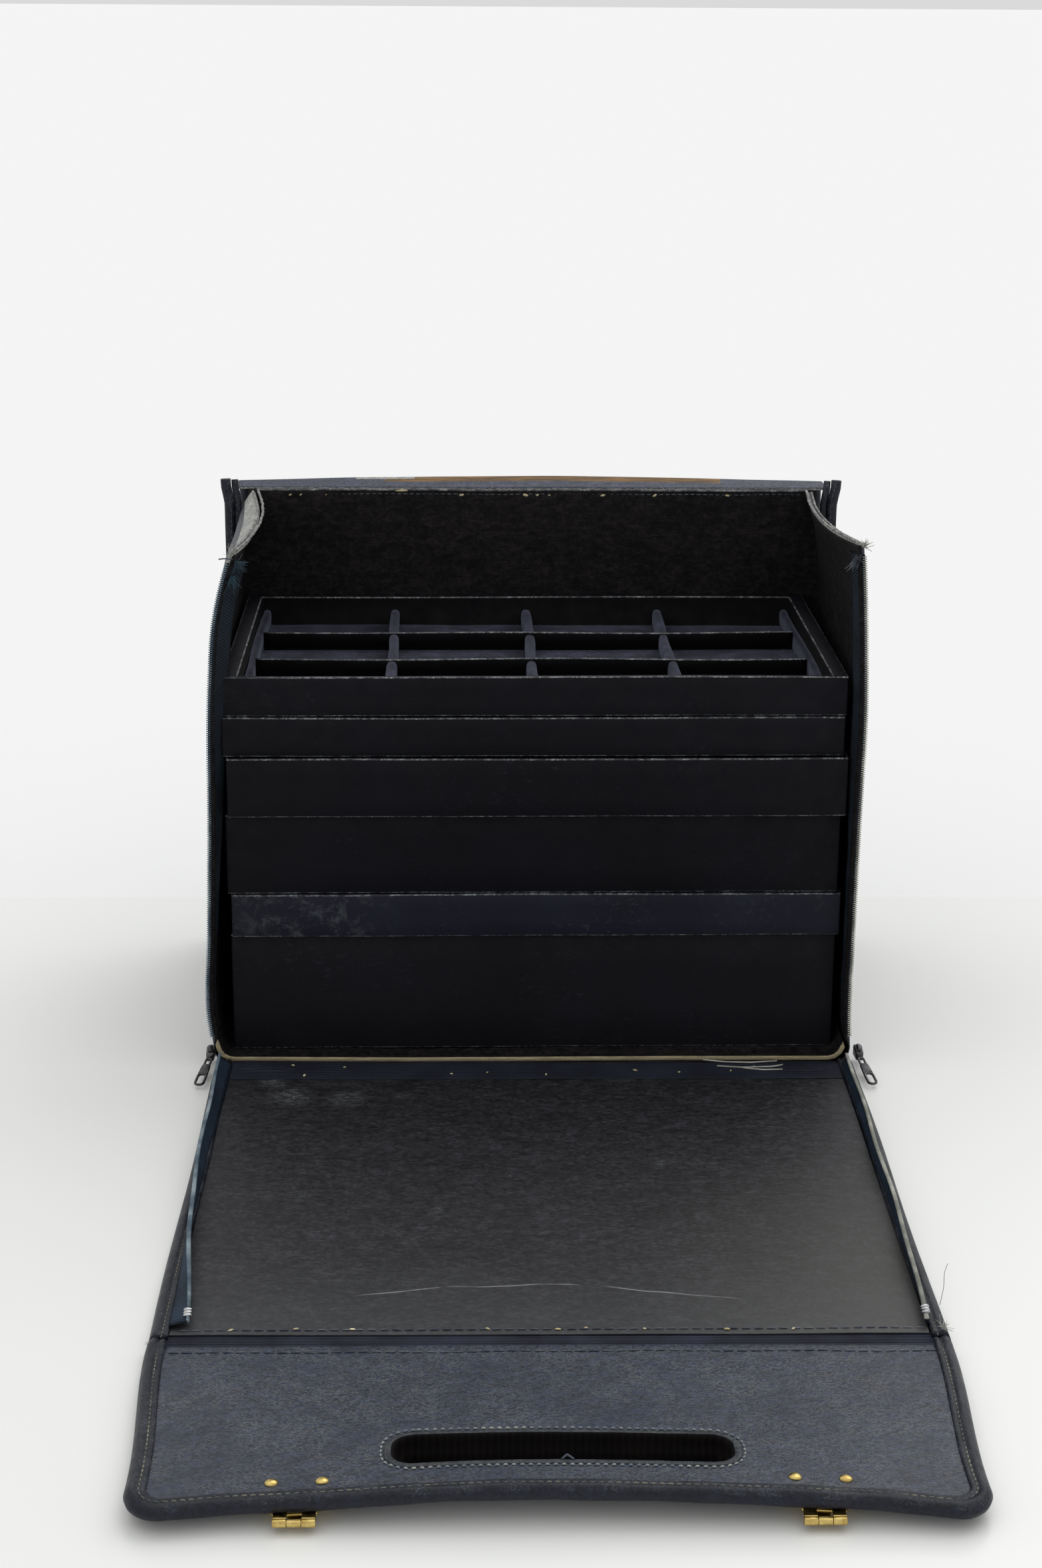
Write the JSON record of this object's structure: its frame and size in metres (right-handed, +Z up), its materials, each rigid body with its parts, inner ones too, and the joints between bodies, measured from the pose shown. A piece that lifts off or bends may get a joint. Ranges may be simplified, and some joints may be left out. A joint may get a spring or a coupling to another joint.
{
  "type": "sample and make-up tray case",
  "caption": "Leatherette case with a zip-down front, two folding handle flaps with hand slots, brass latches, and a stack of loose lined trays.",
  "frame": {"origin": "middle of the underside of the case's base, on the table", "axes": "+X across the width to the right as seen from the open front, +Y to the back, +Z up; the dropped front panel lies towards -Y"},
  "size_m": [0.4176, 0.7482, 0.3273],
  "materials": {
    "leatherette": "navy leatherette with a fine embossed grain, worn grey along its folds",
    "leather_binding": "smooth navy vinyl binding, lightly scuffed",
    "lining_board": "near-black mottled lining paper on fibreboard",
    "panel_lining": "charcoal mottled lining paper, rubbed and speckled",
    "raw_board": "raw cream fibreboard edge",
    "tray_wrap": "black-navy leatherette paper with worn pale edges",
    "velvet": "dark navy velvet",
    "webbing": "ribbed navy webbing",
    "zip_cloth": "twill zip tape",
    "brass": "polished brass plate, slightly tarnished",
    "gunmetal": "black enamelled metal"
  },
  "bodies": {
    "case_body": {"base_cover": "leatherette", "base_board": "raw_board", "back_board": "lining_board", "back_cover": "leatherette", "left_side_cover": "leatherette", "right_side_cover": "leatherette", "left_side_board": "lining_board", "right_side_board": "lining_board", "left_back_binding": "leather_binding", "right_back_binding": "leather_binding", "left_case_zip": "zip_cloth", "right_case_zip": "zip_cloth"},
    "front_panel": {"front_cover": "leatherette", "front_board": "raw_board", "front_lining": "panel_lining", "hinge_webbing": "webbing", "front_fold_band": "webbing", "left_front_binding": "leather_binding", "right_front_binding": "leather_binding", "left_panel_zip": "zip_cloth", "right_panel_zip": "zip_cloth"},
    "front_handle_flap": {"front_flap": "leatherette", "front_flap_binding": "leather_binding", "front_slot_rim": "leather_binding", "left_latch_leaf": "brass", "right_latch_leaf": "brass", "left_latch_pin": "brass", "right_latch_pin": "brass", "rivet_left_inner": "brass", "rivet_left_outer": "brass", "rivet_right_inner": "brass", "rivet_right_outer": "brass"},
    "left_hasp": {"left_hasp": "brass"},
    "right_hasp": {"right_hasp": "brass"},
    "back_band": {"back_fold_band": "leatherette"},
    "back_handle_flap": {"back_flap": "leatherette", "back_flap_binding": "leather_binding", "back_slot_rim": "leather_binding", "left_catch_plate": "brass", "right_catch_plate": "brass"},
    "left_button": {"left_turn_button": "brass"},
    "right_button": {"right_turn_button": "brass"},
    "left_slider": {"left_zip_slider": "gunmetal"},
    "right_slider": {"right_zip_slider": "gunmetal"},
    "left_pull": {"left_zip_pull": "gunmetal"},
    "right_pull": {"right_zip_pull": "gunmetal"},
    "tray_1": {"tray_1": "tray_wrap"},
    "tray_2": {"tray_2": "tray_wrap"},
    "tray_3": {"tray_3": "tray_wrap"},
    "tray_4": {"tray_4": "tray_wrap"},
    "tray_5": {"tray_5": "tray_wrap"},
    "tray_6": {"tray_6": "tray_wrap", "top_tray_cross_1": "tray_wrap", "top_tray_cross_2": "tray_wrap", "top_tray_divider_1": "velvet", "top_tray_divider_2": "velvet", "top_tray_divider_3": "velvet", "top_tray_floor_pad": "velvet", "top_tray_left_pad": "velvet", "top_tray_right_pad": "velvet"}
  },
  "joints": [
    {"name": "front_panel_drop", "type": "hinge", "parent": "case_body", "child": "front_panel", "pos_m": [0, -0.11991, 0.0025], "axis": [1, 0, 0], "range_deg": [-90, 0]},
    {"name": "front_flap_fold", "type": "hinge", "parent": "front_panel", "child": "front_handle_flap", "pos_m": [0, -0.45941, 0.0058], "axis": [1, 0, 0], "range_deg": [-48, 0]},
    {"name": "left_hasp_swing", "type": "hinge", "parent": "front_handle_flap", "child": "left_hasp", "pos_m": [-0.1155, -0.60822, 0.00494], "axis": [1, 0, 0], "range_deg": [-175, 0]},
    {"name": "right_hasp_swing", "type": "hinge", "parent": "front_handle_flap", "child": "right_hasp", "pos_m": [0.1155, -0.60822, 0.00494], "axis": [1, 0, 0], "range_deg": [-175, 0]},
    {"name": "back_band_fold", "type": "hinge", "parent": "case_body", "child": "back_band", "pos_m": [0, 0.11471, 0.3202], "axis": [-1, 0, 0], "range_deg": [-127, 0]},
    {"name": "back_flap_fold", "type": "hinge", "parent": "back_band", "child": "back_handle_flap", "pos_m": [0, 0.13771, 0.3227], "axis": [-1, 0, 0], "range_deg": [-97, 0]},
    {"name": "left_button_turn", "type": "hinge", "parent": "back_handle_flap", "child": "left_button", "pos_m": [-0.1155, 0.13151, 0.2017], "axis": [0, 1, 0], "range_deg": [-90, 0]},
    {"name": "right_button_turn", "type": "hinge", "parent": "back_handle_flap", "child": "right_button", "pos_m": [0.1155, 0.13151, 0.2017], "axis": [0, 1, 0], "range_deg": [-90, 0]},
    {"name": "tray_1_slide", "type": "slide", "parent": "case_body", "child": "tray_1", "axis": [0, -1, 0], "range_m": [0, 0.2]},
    {"name": "tray_2_slide", "type": "slide", "parent": "case_body", "child": "tray_2", "axis": [0, -1, 0], "range_m": [0, 0.2]},
    {"name": "tray_3_slide", "type": "slide", "parent": "case_body", "child": "tray_3", "axis": [0, -1, 0], "range_m": [0, 0.2]},
    {"name": "tray_4_slide", "type": "slide", "parent": "case_body", "child": "tray_4", "axis": [0, -1, 0], "range_m": [0, 0.2]},
    {"name": "tray_5_slide", "type": "slide", "parent": "case_body", "child": "tray_5", "axis": [0, -1, 0], "range_m": [0, 0.2]},
    {"name": "tray_6_slide", "type": "slide", "parent": "case_body", "child": "tray_6", "axis": [0, -1, 0], "range_m": [0, 0.2]},
    {"name": "left_zip_travel", "type": "slide", "parent": "case_body", "child": "left_slider", "axis": [0, 0, -1], "range_m": [-0.285, 0]},
    {"name": "right_zip_travel", "type": "slide", "parent": "case_body", "child": "right_slider", "axis": [0, 0, -1], "range_m": [-0.285, 0]},
    {"name": "left_pull_swing", "type": "hinge", "parent": "left_slider", "child": "left_pull", "pos_m": [-0.2023, -0.12001, 0.00675], "axis": [-0.9925, 0.1219, 0], "range_deg": [-75, 95]},
    {"name": "right_pull_swing", "type": "hinge", "parent": "right_slider", "child": "right_pull", "pos_m": [0.2023, -0.12001, 0.00675], "axis": [-0.9925, -0.1219, 0], "range_deg": [-75, 95]}
  ]
}
